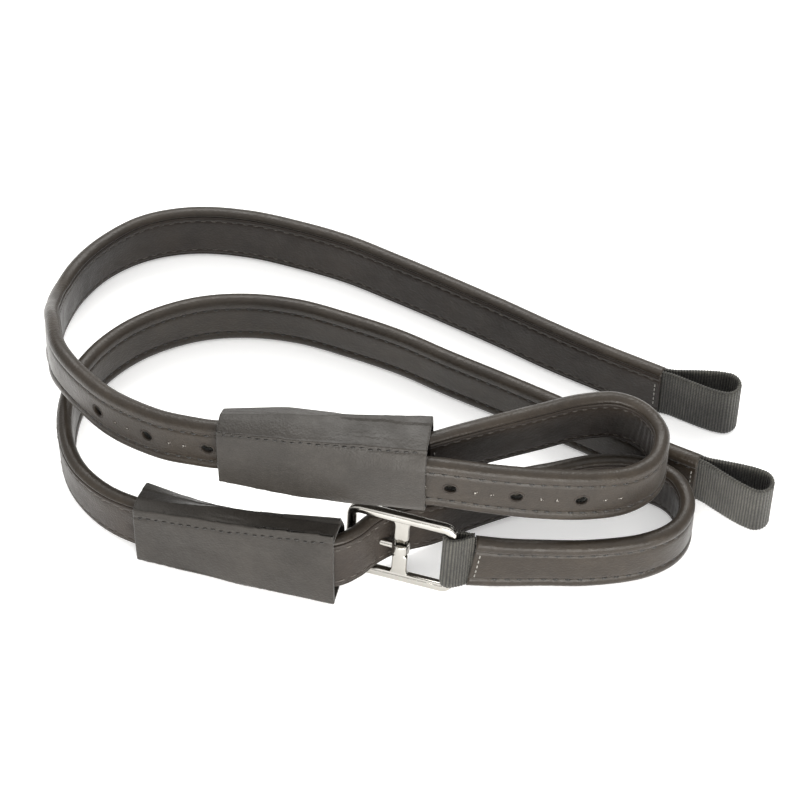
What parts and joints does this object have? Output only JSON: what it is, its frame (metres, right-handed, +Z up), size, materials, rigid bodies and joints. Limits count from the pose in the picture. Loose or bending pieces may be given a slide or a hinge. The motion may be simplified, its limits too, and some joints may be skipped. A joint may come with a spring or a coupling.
{
  "type": "stirrup leathers",
  "caption": "Padded single-strap stirrup leathers laid out in loops, each turned back through a buckle under a sliding sleeve, with a webbing loop at the saddle end.",
  "frame": {"origin": "middle of the bottom of the layout's bounding box, on the floor it lies on", "axes": "+X to the right along the layout's longest side, +Y away from the viewer, +Z up"},
  "size_m": [0.2886, 0.1886, 0.0727],
  "materials": {
    "cover_leather": "smooth brown-grey leather with a soft sheen",
    "lining_leather": "darker smooth lining leather",
    "sleeve_leather": "soft grained leather with light creases",
    "webbing": "dull black woven webbing",
    "felt_padding": "plain felt",
    "filler_cord": "plain twisted cord",
    "thread": "waxed thread",
    "nickel": "polished nickel plate"
  },
  "bodies": {
    "straps": {"strap_cover_a": "cover_leather", "lining_a": "lining_leather", "padding_a": "felt_padding", "webbing_core_a": "webbing", "upper_roll_a": "filler_cord", "lower_roll_a": "filler_cord", "bar_loop_a": "webbing", "bar_loop_tack_a": "thread", "buckle_loop_a": "webbing", "buckle_loop_tack_a": "thread", "strap_cover_b": "cover_leather", "lining_b": "lining_leather", "padding_b": "felt_padding", "webbing_core_b": "webbing", "upper_roll_b": "filler_cord", "lower_roll_b": "filler_cord", "bar_loop_b": "webbing", "bar_loop_tack_b": "thread", "buckle_loop_b": "webbing", "buckle_loop_tack_b": "thread"},
    "buckle_a": {"buckle_frame_a": "nickel"},
    "tongue_a": {"buckle_tongue_a": "nickel"},
    "sleeve_a": {"sleeve_a": "sleeve_leather", "sleeve_seam_a": "thread"},
    "buckle_b": {"buckle_frame_b": "nickel"},
    "tongue_b": {"buckle_tongue_b": "nickel"},
    "sleeve_b": {"sleeve_b": "sleeve_leather", "sleeve_seam_b": "thread"}
  },
  "joints": [
    {"name": "buckle_turn_a", "type": "hinge", "parent": "straps", "child": "buckle_a", "pos_m": [0.0006, -0.06064, 0.05342], "axis": [0.0067, 0.0589, 0.9982], "range_deg": [-2, 1]},
    {"name": "tongue_swing_a", "type": "hinge", "parent": "buckle_a", "child": "tongue_a", "pos_m": [-0.01927, -0.05838, 0.05342], "axis": [-0.0067, -0.0589, -0.9982], "range_deg": [0, 50]},
    {"name": "sleeve_slide_a", "type": "slide", "parent": "straps", "child": "sleeve_a", "axis": [0.9893, -0.1459, 0], "range_m": [-0.012, 0.001]},
    {"name": "buckle_turn_b", "type": "hinge", "parent": "straps", "child": "buckle_b", "pos_m": [0.01836, -0.08033, 0.01712], "axis": [0.0573, 0.1874, 0.9806], "range_deg": [-1, 3]},
    {"name": "tongue_swing_b", "type": "hinge", "parent": "buckle_b", "child": "tongue_b", "pos_m": [-0.00077, -0.07448, 0.01712], "axis": [0.0573, 0.1874, 0.9806], "range_deg": [0, 150]},
    {"name": "sleeve_slide_b", "type": "slide", "parent": "straps", "child": "sleeve_b", "axis": [0.9646, -0.2597, 0.0458], "range_m": [-0.0038, 0.001]}
  ]
}
